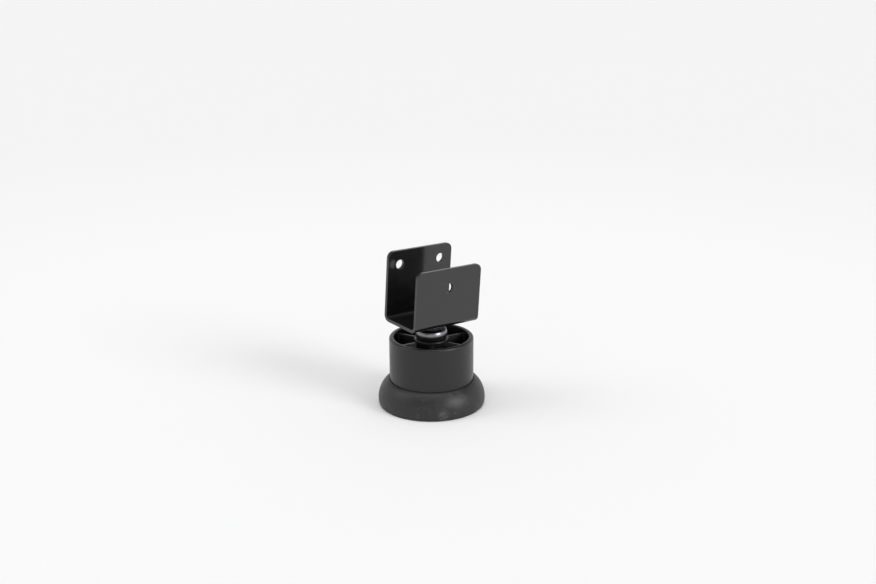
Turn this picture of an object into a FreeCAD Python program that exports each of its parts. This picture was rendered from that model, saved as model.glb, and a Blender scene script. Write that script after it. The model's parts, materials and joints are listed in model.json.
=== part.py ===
"""Height-adjustable leg for a bed or sofa rail, in millimetres, +Z up.

A folded steel bracket holds the rail. It is riveted to a turned steel spindle, loosely enough
to turn on it and to lean a little. The spindle's thread runs in an insert in the hub of a
ribbed plastic foot, and the foot stands in a flared rubber shoe. The origin is on the
spindle's axis at floor level, +X runs along the bracket and +Y points to its tall flange.
"""
import FreeCAD, Part
import math
import os
import re
import Sketcher
from FreeCAD import Vector

doc = FreeCAD.newDocument("furniture_leg")

# Driving dimensions, in millimetres and degrees
SIZES = {
    # Rubber shoe
    "shoe_diameter": 64.4,
    "shoe_widest_height": 3.8,
    "shoe_sole_diameter": 63.0,
    "shoe_lower_radius": 10.66,
    "shoe_side_radius": 15.0,
    "shoe_side_angle": 45.0,
    "shoe_shoulder_radius": 6.3,
    "shoe_sole_thickness": 3.0,
    "shoe_sole_edge_radius": 0.6,
    "shoe_fit_gap": 0.02,
    "tread_count": 3,
    "tread_pitch": 6.0,
    "tread_groove_width": 3.0,
    "tread_groove_depth": 0.8,
    "tread_inner_radius": 9.0,
    # Plastic foot
    "wall_diameter": 50.5,
    "wall_thickness": 2.7,
    "foot_height": 39.2,
    "foot_floor_thickness": 3.0,
    "bead_width": 2.5,
    "bead_height": 3.5,
    "rim_outer_radius": 1.2,
    "rim_inner_chamfer": 0.4,
    "hub_diameter": 20.8,
    "hub_drop": 0.85,
    "hub_edge_chamfer": 0.4,
    "hub_bore_clearance": 0.6,
    "hub_bore_floor": 4.0,
    "hub_bore_end_gap": 1.0,
    "rib_count": 6,
    "rib_thickness": 1.8,
    "rib_drop": 2.25,
    "rib_angle": -7.7,
    # Threaded insert
    "insert_diameter": 14.0,
    "insert_length": 20.0,
    "insert_flange_diameter": 16.0,
    "insert_flange_thickness": 1.2,
    "insert_groove_width": 3.0,
    "insert_groove_depth": 0.6,
    "insert_bore_chamfer": 0.5,
    "insert_fit_gap": 0.02,
    # Spindle
    "thread_diameter": 10.0,
    "thread_clearance": 0.05,
    "shank_length": 33.0,
    "shank_chamfer": 1.0,
    "collar_seat_gap": 0.1,
    "collar_diameter": 19.3,
    "collar_height": 5.55,
    "collar_bulge_radius": 5.0,
    "collar_edge_radius": 0.8,
    "neck_diameter": 12.0,
    "neck_height": 4.2,
    "rivet_diameter": 8.0,
    "rivet_side_clearance": 0.25,
    "rivet_end_play": 0.03,
    "rivet_head_diameter": 13.0,
    "rivet_head_rim": 0.5,
    "rivet_head_dome": 1.1,
    # Bracket
    "rail_gap": 26.4,
    "sheet_thickness": 2.0,
    "bend_radius": 2.0,
    "bracket_length": 47.0,
    "tall_flange_height": 42.3,
    "short_flange_height": 36.5,
    "flange_corner_radius": 4.0,
    "screw_hole_diameter": 5.6,
    "tall_hole_spacing": 30.0,
    "tall_hole_drop": 8.5,
    "short_hole_drop": 11.8,
    "lean_angle": 3.2,
    "lean_direction": -35.0,
}

# Heights and radii that follow from them, as expressions in the same names. The collar rests
# just above the hub, or higher where the shank is too long for the bore under it.
FOOT_BOTTOM = "shoe_sole_thickness"
RIM_HEIGHT = f"({FOOT_BOTTOM} + foot_height)"
FLOOR_HEIGHT = f"({FOOT_BOTTOM} + foot_floor_thickness)"
HUB_TOP = f"({RIM_HEIGHT} - hub_drop)"
RIB_TOP = f"({RIM_HEIGHT} - rib_drop)"
INSERT_BOTTOM = f"({HUB_TOP} - insert_length)"
FLANGE_SEAT = f"({HUB_TOP} - insert_flange_thickness)"
COLLAR_BOTTOM = (f"max({HUB_TOP} + collar_seat_gap; {FOOT_BOTTOM} + hub_bore_floor"
                 " + hub_bore_end_gap + shank_length)")
COLLAR_TOP = f"({COLLAR_BOTTOM} + collar_height)"
SHOULDER_HEIGHT = f"({COLLAR_TOP} + neck_height)"
SHANK_TIP = f"({COLLAR_BOTTOM} - shank_length)"

# The arcs of the shoe's side and shoulder shrink together where the rubber is too thin for
# them, and the foot's bead stays inside the rubber
RUBBER_WIDTH = "((shoe_diameter - wall_diameter) / 2 - shoe_fit_gap)"
SIDE_COSINE = "cos(shoe_side_angle * 1 deg)"
SIDE_SINE = "sin(shoe_side_angle * 1 deg)"
ARCS_WIDTH = f"(shoe_side_radius - (shoe_side_radius - shoe_shoulder_radius) * {SIDE_COSINE})"
SHRINK = f"min(1; 1.25 * {RUBBER_WIDTH} / {ARCS_WIDTH})"
SIDE_RADIUS = f"(shoe_side_radius * {SHRINK})"
SHOULDER_RADIUS = f"(shoe_shoulder_radius * {SHRINK})"
SHOULDER_LEVEL = f"(shoe_widest_height + ({SIDE_RADIUS} - {SHOULDER_RADIUS}) * {SIDE_SINE})"
BEAD_TOP = f"min({FOOT_BOTTOM} + bead_height; {SHOULDER_LEVEL})"

WALL_RADIUS = "wall_diameter / 2"
WALL_INSIDE = "(wall_diameter / 2 - wall_thickness)"
BEAD_RADIUS = f"(wall_diameter / 2 + min(bead_width; {RUBBER_WIDTH} / 2))"
HUB_RADIUS = "hub_diameter / 2"
SHANK_RADIUS = "(thread_diameter / 2 - thread_clearance)"

# The leaning web touches the neck's shoulder on one side and the rivet's head on the other
LEAN = "tan(lean_angle * 1 deg)"
WEB_HEIGHT = f"({SHOULDER_HEIGHT} + neck_diameter / 2 * {LEAN} + rivet_end_play)"
WEB_RISE = "(sheet_thickness / cos(lean_angle * 1 deg))"
HEAD_HEIGHT = f"({WEB_HEIGHT} + {WEB_RISE} + rivet_head_diameter / 2 * {LEAN} + rivet_end_play)"

sheet = doc.addObject("Spreadsheet::Sheet", "Sizes")
for row, (alias, number) in enumerate(SIZES.items(), start=1):
    sheet.set(f"A{row}", alias)
    sheet.set(f"B{row}", str(number))
    sheet.setAlias(f"B{row}", alias)
doc.recompute()


def size(text):
    """Turns an expression in plain names into one that reads the sheet's cells."""
    return re.sub(r"[a-z_]+", lambda m: "Sizes." + m[0] if m[0] in SIZES else m[0], text)


def number_of(text):
    """Works out such an expression now, for a first guess or to find an edge."""
    return float(sheet.evalExpression(size(text)))


# Sketches
def new_body(label):
    body = doc.addObject("PartDesign::Body", label)
    body.Label = label
    return body


def new_sketch(body, label, plane, height="0"):
    """Lays a sketch on one of the body's own planes, lifted along the plane's normal."""
    sketch = body.newObject("Sketcher::SketchObject", label)
    support = next(item for item in body.Origin.OriginFeatures if item.Role == plane)
    sketch.AttachmentSupport = [(support, "")]
    sketch.MapMode = "FlatFace"
    sketch.setExpression(".AttachmentOffset.Base.z", size(height))
    return sketch


def hold(sketch, kind, *where, to):
    """Adds a constraint whose value follows an expression."""
    index = sketch.addConstraint(Sketcher.Constraint(kind, *where, number_of(to)))
    sketch.setExpression(f"Constraints[{index}]", size(to))


def pin_point(sketch, edge, end, across, up):
    """Fixes a point of the sketch at two expressions, or on an axis where one is 0."""
    if across == "0":
        sketch.addConstraint(Sketcher.Constraint("PointOnObject", edge, end, -2))
    else:
        hold(sketch, "DistanceX", -1, 1, edge, end, to=across)
    if up == "0":
        sketch.addConstraint(Sketcher.Constraint("PointOnObject", edge, end, -1))
    else:
        hold(sketch, "DistanceY", -1, 1, edge, end, to=up)


def arc_between(start, end, radius, centre_side):
    """An arc of the given radius, with its centre on the left (+1) or right (-1) of its chord."""
    chord = end - start
    rise = math.sqrt(max(radius ** 2 - (chord.Length / 2) ** 2, 0))
    left = Vector(-chord.y, chord.x, 0).normalize()
    middle = (start + end) / 2
    centre = middle + left * rise * centre_side
    outward = -centre_side if rise > 0 else 1
    crown = centre + left * radius * outward
    return Part.Arc(start, crown, end)


def outline(sketch, corners, rounds=None):
    """Draws a closed outline through named corners, each at two expressions.

    rounds holds, for the name of a corner, the radius and centre side of the arc that starts
    there. The other edges are straight.
    """
    rounds = rounds or {}
    names = list(corners)
    places = [Vector(number_of(x), number_of(y), 0) for x, y in corners.values()]
    first = sketch.GeometryCount
    for index, name in enumerate(names):
        start, end = places[index], places[(index + 1) % len(names)]
        if name in rounds:
            radius, centre_side = rounds[name]
            edge = arc_between(start, end, number_of(radius), centre_side)
        else:
            edge = Part.LineSegment(start, end)
        sketch.addGeometry(edge, False)
    ends = []
    for index in range(len(names)):
        start_first = (sketch.getPoint(first + index, 1) - places[index]).Length < 1e-6
        ends.append((1, 2) if start_first else (2, 1))
    for index in range(len(names)):
        after = (index + 1) % len(names)
        sketch.addConstraint(Sketcher.Constraint(
            "Coincident", first + index, ends[index][1], first + after, ends[after][0]))
    for index, name in enumerate(names):
        pin_point(sketch, first + index, ends[index][0], *corners[name])
        if name in rounds:
            hold(sketch, "Radius", first + index, to=rounds[name][0])


def circle(sketch, across, up, diameter):
    edge = sketch.addGeometry(
        Part.Circle(Vector(number_of(across), number_of(up), 0), Vector(0, 0, 1), 1.0), False)
    pin_point(sketch, edge, 3, across, up)
    hold(sketch, "Diameter", edge, to=diameter)


# Features
def revolve(body, sketch, label, kind="Revolution"):
    feature = body.newObject(f"PartDesign::{kind}", label)
    feature.Profile = sketch
    feature.ReferenceAxis = (sketch, ["V_Axis"])
    feature.Angle = 360
    doc.recompute()
    return feature


def extrude(body, sketch, label, length, kind="Pad", reverse=False, midplane=False):
    feature = body.newObject(f"PartDesign::{kind}", label)
    feature.Profile = sketch
    feature.Reversed = reverse
    feature.Midplane = midplane
    feature.setExpression("Length", size(length))
    doc.recompute()
    return feature


def round_edges(body, label, edges, radius, kind="Fillet"):
    """Rounds or chamfers the tip's edges that the test picks."""
    base = body.Tip
    names = [f"Edge{index}" for index, edge in enumerate(base.Shape.Edges, start=1)
             if not edge.Degenerated and edges(edge)]
    assert names, f"{label} found no edge"
    feature = body.newObject(f"PartDesign::{kind}", label)
    feature.Base = (base, names)
    feature.setExpression("Radius" if kind == "Fillet" else "Size", size(radius))
    doc.recompute()
    return feature


def ring(radius, height):
    """Picks a circular edge about the body's axis."""
    wanted, level = number_of(radius), number_of(height)

    def test(edge):
        if not isinstance(edge.Curve, Part.Circle):
            return False
        return abs(edge.Curve.Radius - wanted) < 1e-4 and abs(edge.Curve.Center.z - level) < 1e-4

    return test


def must_cut(body, feature, before):
    assert feature.Shape.Volume < before - 1e-3, f"{feature.Label} cuts nothing from {body.Label}"


# Sub-parts
def make_rubber_shoe():
    """Flared cup with a bulging side, a groove for the foot's bead and a ringed tread."""
    body = new_body("rubber_shoe")
    inside = f"({WALL_RADIUS} + shoe_fit_gap)"
    groove_side = f"({BEAD_RADIUS} + shoe_fit_gap)"
    groove_top = f"({BEAD_TOP} + shoe_fit_gap)"
    side_centre = f"(shoe_diameter / 2 - {SIDE_RADIUS})"
    shoulder_centre = f"({side_centre} + ({SIDE_RADIUS} - {SHOULDER_RADIUS}) * {SIDE_COSINE})"
    lip_height = (f"{SHOULDER_LEVEL} + sqrt({SHOULDER_RADIUS} ^ 2"
                  f" - ({inside} - {shoulder_centre}) ^ 2)")

    profile = new_sketch(body, "shoe_profile", "XZ_Plane")
    outline(
        profile,
        {
            "sole centre": ("0", "0"),
            "sole edge": ("shoe_sole_diameter / 2", "0"),
            "widest": ("shoe_diameter / 2", "shoe_widest_height"),
            "shoulder": (f"{side_centre} + {SIDE_RADIUS} * {SIDE_COSINE}",
                         f"shoe_widest_height + {SIDE_RADIUS} * {SIDE_SINE}"),
            "lip": (inside, lip_height),
            "groove mouth": (inside, groove_top),
            "groove top": (groove_side, groove_top),
            "groove foot": (groove_side, FOOT_BOTTOM),
            "floor centre": ("0", FOOT_BOTTOM),
        },
        {
            "sole edge": ("shoe_lower_radius", 1),
            "widest": (SIDE_RADIUS, 1),
            "shoulder": (SHOULDER_RADIUS, 1),
        },
    )
    shell = revolve(body, profile, "shoe_shell")
    volume = shell.Shape.Volume

    tread = new_sketch(body, "tread_profile", "XZ_Plane")
    for index in range(int(SIZES["tread_count"])):
        near = f"(tread_inner_radius + {index} * tread_pitch)"
        far = f"({near} + tread_groove_width)"
        outline(tread, {
            "near": (near, "0"),
            "far": (far, "0"),
            "far roof": (far, "tread_groove_depth"),
            "near roof": (near, "tread_groove_depth"),
        })
    must_cut(body, revolve(body, tread, "tread_rings", "Groove"), volume)
    round_edges(body, "sole_edge", ring("shoe_sole_diameter / 2", "0"), "shoe_sole_edge_radius")
    return body


def make_foot_body():
    """Moulded cup with an outer wall, a floor, a central hub and ribs between them."""
    body = new_body("foot_body")
    insert_seat = "(insert_diameter / 2 + insert_fit_gap)"
    flange_seat = "(insert_flange_diameter / 2 + insert_fit_gap)"
    bore = "(thread_diameter / 2 + hub_bore_clearance)"
    bore_floor = f"({FOOT_BOTTOM} + hub_bore_floor)"

    profile = new_sketch(body, "foot_profile", "XZ_Plane")
    outline(profile, {
        "underside centre": ("0", FOOT_BOTTOM),
        "bead foot": (BEAD_RADIUS, FOOT_BOTTOM),
        "bead top": (BEAD_RADIUS, BEAD_TOP),
        "wall foot": (WALL_RADIUS, BEAD_TOP),
        "rim outside": (WALL_RADIUS, RIM_HEIGHT),
        "rim inside": (WALL_INSIDE, RIM_HEIGHT),
        "floor at wall": (WALL_INSIDE, FLOOR_HEIGHT),
        "floor at hub": (HUB_RADIUS, FLOOR_HEIGHT),
        "hub outside": (HUB_RADIUS, HUB_TOP),
        "hub inside": (flange_seat, HUB_TOP),
        "flange seat outside": (flange_seat, FLANGE_SEAT),
        "flange seat inside": (insert_seat, FLANGE_SEAT),
        "seat outside": (insert_seat, INSERT_BOTTOM),
        "seat inside": (bore, INSERT_BOTTOM),
        "bore foot": (bore, bore_floor),
        "bore centre": ("0", bore_floor),
    })
    revolve(body, profile, "wall_floor_hub")

    # One rib, sunk into the hub and the wall so that they join
    rib = new_sketch(body, "rib_profile", "XY_Plane", FOOT_BOTTOM)
    near, far = f"({HUB_RADIUS} + {insert_seat}) / 2", f"({WALL_INSIDE} + wall_thickness / 2)"
    outline(rib, {
        "near right": (near, "0 - rib_thickness / 2"),
        "far right": (far, "0 - rib_thickness / 2"),
        "far left": (far, "rib_thickness / 2"),
        "near left": (near, "rib_thickness / 2"),
    })
    rib.setExpression(".AttachmentOffset.Rotation.Angle", size("rib_angle"))
    first = extrude(body, rib, "rib", f"{RIB_TOP} - {FOOT_BOTTOM}")
    ribs = body.newObject("PartDesign::PolarPattern", "ribs")
    ribs.Originals = [first]
    ribs.Axis = (rib, ["N_Axis"])
    ribs.Angle = 360
    ribs.setExpression("Occurrences", size("rib_count"))
    body.Tip = ribs
    doc.recompute()

    round_edges(body, "rim_outside", ring(WALL_RADIUS, RIM_HEIGHT), "rim_outer_radius")
    round_edges(body, "rim_inside", ring(WALL_INSIDE, RIM_HEIGHT), "rim_inner_chamfer", "Chamfer")
    round_edges(body, "hub_edge", ring(HUB_RADIUS, HUB_TOP), "hub_edge_chamfer", "Chamfer")
    return body


def make_threaded_insert():
    """Flanged steel bush sunk flush in the hub, with a groove that the plastic grips."""
    body = new_body("threaded_insert")
    bore = "thread_diameter / 2"
    skin = "insert_diameter / 2"
    waist = f"({skin} - insert_groove_depth)"
    groove_foot = f"({INSERT_BOTTOM} + (insert_length - insert_groove_width) / 2)"
    profile = new_sketch(body, "insert_profile", "XZ_Plane")
    outline(profile, {
        "bore foot": (bore, INSERT_BOTTOM),
        "foot": (skin, INSERT_BOTTOM),
        "groove foot": (skin, groove_foot),
        "waist foot": (waist, groove_foot),
        "waist top": (waist, f"{groove_foot} + insert_groove_width"),
        "groove top": (skin, f"{groove_foot} + insert_groove_width"),
        "flange root": (skin, FLANGE_SEAT),
        "flange foot": ("insert_flange_diameter / 2", FLANGE_SEAT),
        "flange top": ("insert_flange_diameter / 2", HUB_TOP),
        "bore top": (bore, HUB_TOP),
    })
    revolve(body, profile, "insert_turning")
    round_edges(body, "bore_chamfer", ring(bore, HUB_TOP), "insert_bore_chamfer", "Chamfer")
    return body


def make_spindle():
    """Turned spindle: threaded shank, bulging collar, neck and the rivet that holds the web."""
    body = new_body("spindle")
    half_collar = "(collar_height / 2)"
    bulge = f"(collar_bulge_radius - sqrt(collar_bulge_radius ^ 2 - {half_collar} ^ 2))"
    collar_edge = f"(collar_diameter / 2 - {bulge})"
    neck, rivet, head = "neck_diameter / 2", "rivet_diameter / 2", "rivet_head_diameter / 2"
    dome_foot = f"({HEAD_HEIGHT} + rivet_head_rim)"

    profile = new_sketch(body, "spindle_profile", "XZ_Plane")
    outline(
        profile,
        {
            "tip centre": ("0", SHANK_TIP),
            "tip": (f"{SHANK_RADIUS} - shank_chamfer", SHANK_TIP),
            "shank foot": (SHANK_RADIUS, f"{SHANK_TIP} + shank_chamfer"),
            "shank top": (SHANK_RADIUS, COLLAR_BOTTOM),
            "collar foot": (collar_edge, COLLAR_BOTTOM),
            "collar top": (collar_edge, COLLAR_TOP),
            "neck foot": (neck, COLLAR_TOP),
            "shoulder outside": (neck, SHOULDER_HEIGHT),
            "shoulder inside": (rivet, SHOULDER_HEIGHT),
            "head inside": (rivet, HEAD_HEIGHT),
            "head foot": (head, HEAD_HEIGHT),
            "dome foot": (head, dome_foot),
            "dome top": ("0", f"{dome_foot} + rivet_head_dome"),
        },
        {
            "collar foot": ("collar_bulge_radius", 1),
            "dome foot": (
                f"(({head}) ^ 2 + rivet_head_dome ^ 2) / (2 * rivet_head_dome)", 1),
        },
    )
    revolve(body, profile, "spindle_turning")
    round_edges(body, "collar_top_edge", ring(collar_edge, COLLAR_TOP), "collar_edge_radius")
    round_edges(body, "collar_foot_edge", ring(collar_edge, COLLAR_BOTTOM), "collar_edge_radius")
    return body


def make_bracket():
    """Folded U of sheet with a tall and a short flange, leaning a little on its rivet.

    It is drawn upright about the middle of the web's underside, and then leaned.
    """
    body = new_body("bracket")
    inside, outside = "rail_gap / 2", "(rail_gap / 2 + sheet_thickness)"
    outer_bend = "(bend_radius + sheet_thickness)"
    web_end = f"({outside} - {outer_bend})"

    section = new_sketch(body, "bracket_section", "YZ_Plane")
    outline(
        section,
        {
            "tall outer top": (outside, "tall_flange_height"),
            "tall outer bend": (outside, outer_bend),
            "web tall end": (web_end, "0"),
            "web short end": (f"0 - {web_end}", "0"),
            "short outer bend": (f"0 - {outside}", outer_bend),
            "short outer top": (f"0 - {outside}", "short_flange_height"),
            "short inner top": (f"0 - {inside}", "short_flange_height"),
            "short inner bend": (f"0 - {inside}", outer_bend),
            "seat short end": (f"0 - {web_end}", "sheet_thickness"),
            "seat tall end": (web_end, "sheet_thickness"),
            "tall inner bend": (inside, outer_bend),
            "tall inner top": (inside, "tall_flange_height"),
        },
        {
            "tall outer bend": (outer_bend, -1),
            "web short end": (outer_bend, -1),
            "short inner bend": ("bend_radius", 1),
            "seat tall end": ("bend_radius", 1),
        },
    )
    folded = extrude(body, section, "folded_sheet", "bracket_length", midplane=True)

    tall = new_sketch(body, "tall_flange_holes", "XZ_Plane")
    for side in ("0 - ", ""):
        circle(tall, f"{side}tall_hole_spacing / 2", "tall_flange_height - tall_hole_drop",
               "screw_hole_diameter")
    volume = folded.Shape.Volume
    drilled = extrude(body, tall, "tall_flange_drilling", f"{outside} + sheet_thickness", "Pocket")
    must_cut(body, drilled, volume)

    short = new_sketch(body, "short_flange_hole", "XZ_Plane")
    circle(short, "0", "short_flange_height - short_hole_drop", "screw_hole_diameter")
    volume = drilled.Shape.Volume
    drilled = extrude(body, short, "short_flange_drilling", f"{outside} + sheet_thickness",
                      "Pocket", reverse=True)
    must_cut(body, drilled, volume)

    web = new_sketch(body, "web_hole", "XY_Plane")
    circle(web, "0", "0", "rivet_diameter + 2 * rivet_side_clearance")
    volume = drilled.Shape.Volume
    must_cut(body, extrude(body, web, "web_drilling", "2 * sheet_thickness", "Pocket",
                           reverse=True), volume)

    def flange_corner(edge):
        if not isinstance(edge.Curve, Part.Line) or abs(edge.tangentAt(0).y) < 0.999:
            return False
        return edge.CenterOfMass.z > number_of(outer_bend)

    round_edges(body, "flange_corners", flange_corner, "flange_corner_radius")

    # The lean turns the bracket about a level line through the middle of the web's underside
    body.setExpression(".Placement.Base.z", size(WEB_HEIGHT))
    body.setExpression(".Placement.Rotation.Axis.x", size("0 - sin(lean_direction * 1 deg)"))
    body.setExpression(".Placement.Rotation.Axis.y", size("cos(lean_direction * 1 deg)"))
    body.setExpression(".Placement.Rotation.Axis.z", "0")
    body.setExpression(".Placement.Rotation.Angle", size("lean_angle"))
    doc.recompute()
    return body


bodies = [
    make_rubber_shoe(),
    make_foot_body(),
    make_threaded_insert(),
    make_spindle(),
    make_bracket(),
]
doc.recompute()

for item in doc.Objects:
    faults = {"Invalid", "Error"}.intersection(item.State)
    assert not faults, f"{item.Label} is {faults}"
for body in bodies:
    shape = body.Shape
    assert not shape.isNull() and shape.isValid(), f"{body.Label} has no valid shape"
    assert len(shape.Solids) == 1, f"{body.Label} has {len(shape.Solids)} solids"

os.makedirs("parts", exist_ok=True)
for body in bodies:
    body.Shape.exportStep(f"parts/{body.Label}.step")
    box = body.Shape.optimalBoundingBox()
    print(f"{body.Label}: volume {body.Shape.Volume:.1f}, x {box.XMin:.2f} to {box.XMax:.2f},"
          f" y {box.YMin:.2f} to {box.YMax:.2f}, z {box.ZMin:.2f} to {box.ZMax:.2f}")
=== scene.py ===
"""Furniture leg: a folded bracket on a turned spindle, in a ribbed plastic foot with a rubber shoe."""
import json
import math

import bmesh
import bpy
from bpy.props import (FloatProperty, FloatVectorProperty, IntProperty, PointerProperty,
                       StringProperty)
from bpy.types import Operator, Panel, PropertyGroup
from mathutils import Matrix, Vector


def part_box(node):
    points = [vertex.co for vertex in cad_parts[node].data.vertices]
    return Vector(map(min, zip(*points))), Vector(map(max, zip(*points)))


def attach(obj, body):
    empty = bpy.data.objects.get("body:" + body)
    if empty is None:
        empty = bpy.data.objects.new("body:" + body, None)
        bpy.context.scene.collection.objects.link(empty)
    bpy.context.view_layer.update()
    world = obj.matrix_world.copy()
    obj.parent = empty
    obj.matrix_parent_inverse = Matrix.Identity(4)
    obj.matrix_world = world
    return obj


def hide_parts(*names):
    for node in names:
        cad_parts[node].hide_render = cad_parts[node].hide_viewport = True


bl_info = {
    "name": "Furniture leg",
    "version": (1, 0, 0),
    "blender": (4, 5, 0),
    "location": "View3D > Sidebar > Furniture leg",
    "description": "Builds a height-adjustable leg for a bed or sofa rail, with its finishes",
    "category": "Add Mesh",
}

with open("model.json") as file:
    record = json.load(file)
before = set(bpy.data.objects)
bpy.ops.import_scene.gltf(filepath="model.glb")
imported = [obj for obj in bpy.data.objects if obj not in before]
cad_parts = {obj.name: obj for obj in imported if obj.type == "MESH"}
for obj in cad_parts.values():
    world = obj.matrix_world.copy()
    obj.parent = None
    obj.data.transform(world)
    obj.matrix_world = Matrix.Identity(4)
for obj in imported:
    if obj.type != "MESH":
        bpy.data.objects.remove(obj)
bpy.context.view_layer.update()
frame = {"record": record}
MM = 0.001

SHOE_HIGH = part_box("rubber_shoe")[1]
FOOT_LOW, FOOT_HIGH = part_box("foot_body")
INSERT_LOW, INSERT_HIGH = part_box("threaded_insert")
SPINDLE_LOW, SPINDLE_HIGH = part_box("spindle")
MOUNTS = {mount["name"]: mount for mount in frame["record"]["mounts"]}

# Vertices closer than this, in metres, count as one
TOUCHING = 1e-6
# Faces that meet at more than this angle have a sharp edge between them
SHARP = math.radians(30)
# Parts of a full turn in the moulded shoe and in the turned pieces
SHOE_STEPS, TURNED_STEPS = 160, 96
# Parts of the arcs across a rib's end, and between two ribs on the hub and on the wall
END_STEPS, HUB_STEPS, WALL_STEPS = 3, 14, 22


def length(name, about, default):
    """A length in metres that a user may change."""
    return FloatProperty(name=name, description=about, default=default, min=0, subtype="DISTANCE",
                         unit="LENGTH", precision=5)


def angle(name, about, degrees):
    """An angle that a user may change, written here in degrees."""
    return FloatProperty(name=name, description=about, default=math.radians(degrees),
                         subtype="ANGLE", unit="ROTATION")


def light_level(name, about, default):
    """A share of full white that a user may change."""
    return FloatProperty(name=name, description=about, default=default, min=0, max=1,
                         subtype="FACTOR")


def colour(name, about, default):
    return StringProperty(name=name, description=about + ", as an sRGB hex value", default=default)


class ShoeSettings(PropertyGroup):
    """Sizes of the rubber shoe."""
    widest_radius: length("Widest radius", "Radius where the side bulges most", SHOE_HIGH.x)
    widest_height: length("Widest height", "Height of the widest ring above the floor", 3.8 * MM)
    sole_radius: length("Sole radius", "Radius of the flat sole", 31.5 * MM)
    side_radius: length("Side radius", "Radius of the side's bulge", 15.0 * MM)
    shoulder_radius: length("Shoulder radius", "Radius of the rounded top", 6.3 * MM)
    side_angle: angle("Side angle", "Where the side turns into the top", 45)
    sole_thickness: length("Sole thickness", "Rubber under the foot", FOOT_LOW.z)
    edge_radius: length("Sole edge radius", "Rounding of the sole's edge", 0.6 * MM)
    lip_radius: length("Lip radius", "Rounding where the top meets the wall", 0.55 * MM)
    fit: length("Fit", "Clearance between the shoe and the foot", 0.02 * MM)
    tread_depth: length("Tread depth", "Depth of the grooves in the sole", 0.8 * MM)
    tread_width: length("Tread width", "Width of a groove in the sole", 3.0 * MM)
    tread_pitch: length("Tread pitch", "Distance between grooves", 6.0 * MM)
    tread_start: length("Tread start", "Inner radius of the first groove", 9.0 * MM)
    tread_count: IntProperty(name="Tread count", description="Grooves in the sole", default=3, min=0)


class FootSettings(PropertyGroup):
    """Sizes of the plastic foot."""
    wall_radius: length("Wall radius", "Outer radius of the wall", 25.25 * MM)
    wall_thickness: length("Wall thickness", "Thickness of the wall", 2.7 * MM)
    bead_height: length("Bead height", "Height of the ring that holds the shoe", 3.5 * MM)
    floor_thickness: length("Floor thickness", "Thickness of the foot's floor", 3.0 * MM)
    rim_round: length("Rim rounding", "Rounding of the rim's outer edge", 1.2 * MM)
    inner_round: length("Inner rounding", "Rounding of the rim's inner edge", 0.5 * MM)
    hub_radius: length("Hub radius", "Outer radius of the hub", 10.4 * MM)
    hub_round: length("Hub rounding", "Rounding of the hub's outer edge", 0.8 * MM)
    seat_round: length("Seat rounding", "Rounding of the hub's inner edge", 0.125 * MM)
    hub_drop: length("Hub drop", "Depth of the hub's top below the rim", 0.85 * MM)
    rib_thickness: length("Rib thickness", "Thickness of a rib", 1.8 * MM)
    rib_drop: length("Rib drop", "Depth of the ribs' tops below the rim", 2.25 * MM)
    rib_round: length("Rib rounding", "Rounding of the ribs' top edges", 0.22 * MM)
    rib_fillet: length("Rib fillet", "Rounding in the corners of the pockets", 0.9 * MM)
    floor_fillet: length("Floor fillet", "Rounding round the pockets' floors", 0.63 * MM)
    rib_angle: angle("Rib angle", "Turn of the first rib from +X", -7.7)
    rib_count: IntProperty(name="Rib count", description="Ribs round the hub", default=6, min=3)
    seat_radius: length("Seat radius", "Radius of the insert's seat", 7.02 * MM)
    flange_radius: length("Flange seat radius", "Radius of the insert flange's seat", 8.02 * MM)
    flange_depth: length("Flange seat depth", "Depth of that seat below the hub's top", 1.2 * MM)
    bore_radius: length("Bore radius", "Radius of the clearance bore", 5.6 * MM)
    bore_floor: length("Bore floor", "Height of the bore's floor above the foot's underside", 4.0 * MM)


class InsertSettings(PropertyGroup):
    """Sizes of the threaded insert."""
    flange_radius: length("Flange radius", "Radius of the flange in the hub", INSERT_HIGH.x)
    flange_thickness: length("Flange thickness", "Thickness of the flange", 1.2 * MM)
    body_radius: length("Body radius", "Radius inside the hub", 7.0 * MM)
    bore_radius: length("Bore radius", "Radius of the threaded bore", 5.0 * MM)
    groove_width: length("Groove width", "Width of the ring that the plastic grips", 3.0 * MM)
    groove_depth: length("Groove depth", "Depth of that ring", 0.6 * MM)
    edge_radius: length("Edge rounding", "Rounding of the flange's edges", 0.15 * MM)
    body_edge: length("Body rounding", "Rounding of the body's lower edge", 0.3 * MM)
    bore_edge: length("Bore rounding", "Rounding of the bore's upper edge", 0.5 * MM)


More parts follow.
